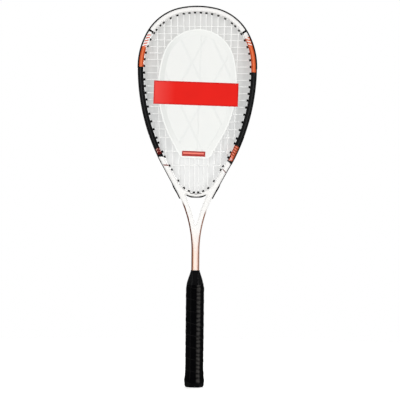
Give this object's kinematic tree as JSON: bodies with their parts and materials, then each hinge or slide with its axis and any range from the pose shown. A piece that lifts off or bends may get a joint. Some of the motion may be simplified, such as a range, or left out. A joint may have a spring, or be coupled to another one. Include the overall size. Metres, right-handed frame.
{
  "type": "squash racket",
  "caption": "Squash racket with an open throat, a separate throat bridge, a woven string bed in grommet strips, a wrapped handle and a display card on the strings.",
  "frame": {"origin": "centre of the butt cap's flat end face", "axes": "+Z along the racket's axis from butt to head, +X across the head to the right seen from the front, -Y out of the front face, where the card lies"},
  "size_m": [0.215, 0.0306, 0.685],
  "materials": {
    "frame_paint": "gloss paint over a moulded graphite composite tube",
    "bridge_paint": "gloss white paint over graphite composite",
    "grommet_plastic": "satin moulded nylon",
    "string": "smooth multifilament string",
    "core": "moulded foam core",
    "cap": "matte moulded plastic",
    "staple": "bright wire",
    "wrap": "soft tacky cushioned wrap with embossed edges",
    "tape": "satin adhesive tape",
    "collar": "satin moulded rubber",
    "card": "smooth coated board",
    "banner": "satin red print"
  },
  "bodies": {
    "racket": {"bridge_grommet_strip": "grommet_plastic", "bumper_guard": "grommet_plastic", "butt_cap": "cap", "butt_cap_staples": "staple", "cross_string": "string", "finishing_tape": "tape", "frame_tube": "frame_paint", "grip_collar": "collar", "grip_wrap": "wrap", "handle_core_back": "core", "handle_core_front": "core", "leg_grommet_strip_left": "grommet_plastic", "leg_grommet_strip_right": "grommet_plastic", "main_string": "string", "side_grommet_strip_left": "grommet_plastic", "side_grommet_strip_right": "grommet_plastic", "string_knots": "string", "throat_bridge": "bridge_paint"},
    "card": {"insert_card": "card", "card_banner": "banner"}
  },
  "joints": [
    {"name": "card_pull", "type": "slide", "parent": "racket", "child": "card", "axis": [0, -1, 0], "range_m": [0, 0.04]}
  ]
}
